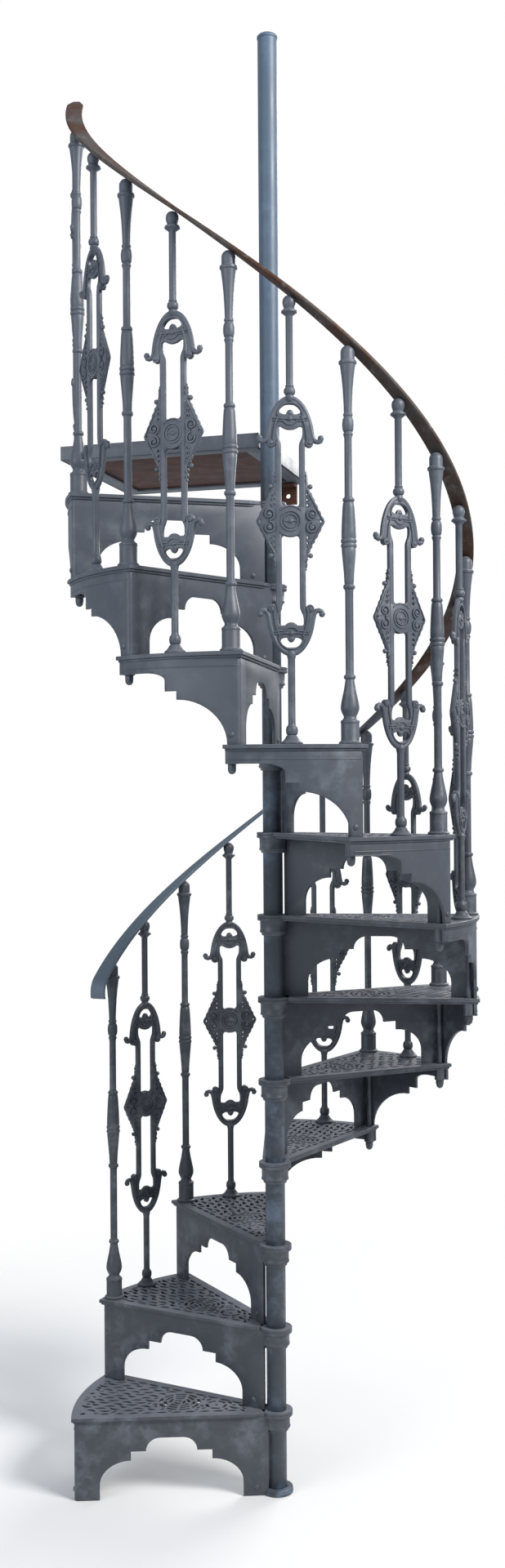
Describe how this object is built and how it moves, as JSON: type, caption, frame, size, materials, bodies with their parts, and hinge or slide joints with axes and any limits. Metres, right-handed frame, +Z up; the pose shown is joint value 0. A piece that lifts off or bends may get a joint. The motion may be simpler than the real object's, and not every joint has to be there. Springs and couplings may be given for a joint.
{
  "type": "spiral staircase",
  "caption": "Cast-iron spiral staircase climbing clockwise round a pole, with riser-and-tread castings, turned and ornate balusters, a flat handrail and a square landing",
  "frame": {"origin": "on the pole's axis, at the underside of its foot, at ground level", "axes": "+Z up along the pole; +X to the right and +Y away from a viewer who faces the first riser's front; the landing lies on the +Y side"},
  "size_m": [1.0394, 1.1306, 3.603],
  "materials": {
    "casting_paint": "old blue-grey paint, satin",
    "pole_paint": "old blue-grey paint, satin",
    "rail_steel": "bare, rusty and rubbed",
    "landing_steel": "old blue-grey paint, satin",
    "rusty_plate": "rust and red primer, matte"
  },
  "bodies": {
    "root": {"tread_01": "casting_paint", "tread_02": "casting_paint", "tread_03": "casting_paint", "tread_04": "casting_paint", "tread_05": "casting_paint", "tread_06": "casting_paint", "tread_07": "casting_paint", "tread_08": "casting_paint", "tread_09": "casting_paint", "tread_10": "casting_paint", "tread_11": "casting_paint", "tread_12": "casting_paint", "turned_baluster_02": "casting_paint", "turned_baluster_03": "casting_paint", "turned_baluster_04": "casting_paint", "turned_baluster_05": "casting_paint", "turned_baluster_06": "casting_paint", "turned_baluster_07": "casting_paint", "turned_baluster_08": "casting_paint", "turned_baluster_09": "casting_paint", "turned_baluster_10": "casting_paint", "turned_baluster_11": "casting_paint", "turned_baluster_12": "casting_paint", "ornate_baluster_02": "casting_paint", "ornate_baluster_03": "casting_paint", "ornate_baluster_04": "casting_paint", "ornate_baluster_05": "casting_paint", "ornate_baluster_06": "casting_paint", "ornate_baluster_07": "casting_paint", "ornate_baluster_08": "casting_paint", "ornate_baluster_09": "casting_paint", "ornate_baluster_10": "casting_paint", "ornate_baluster_11": "casting_paint", "ornate_baluster_12": "casting_paint", "acorn_nuts": "casting_paint", "newel_pole": "pole_paint", "pole_cap": "pole_paint", "pole_foot": "pole_paint", "handrail": "rail_steel", "landing_frame": "landing_steel", "landing_plate": "rusty_plate", "wall_lug": "rusty_plate"}
  },
  "joints": []
}
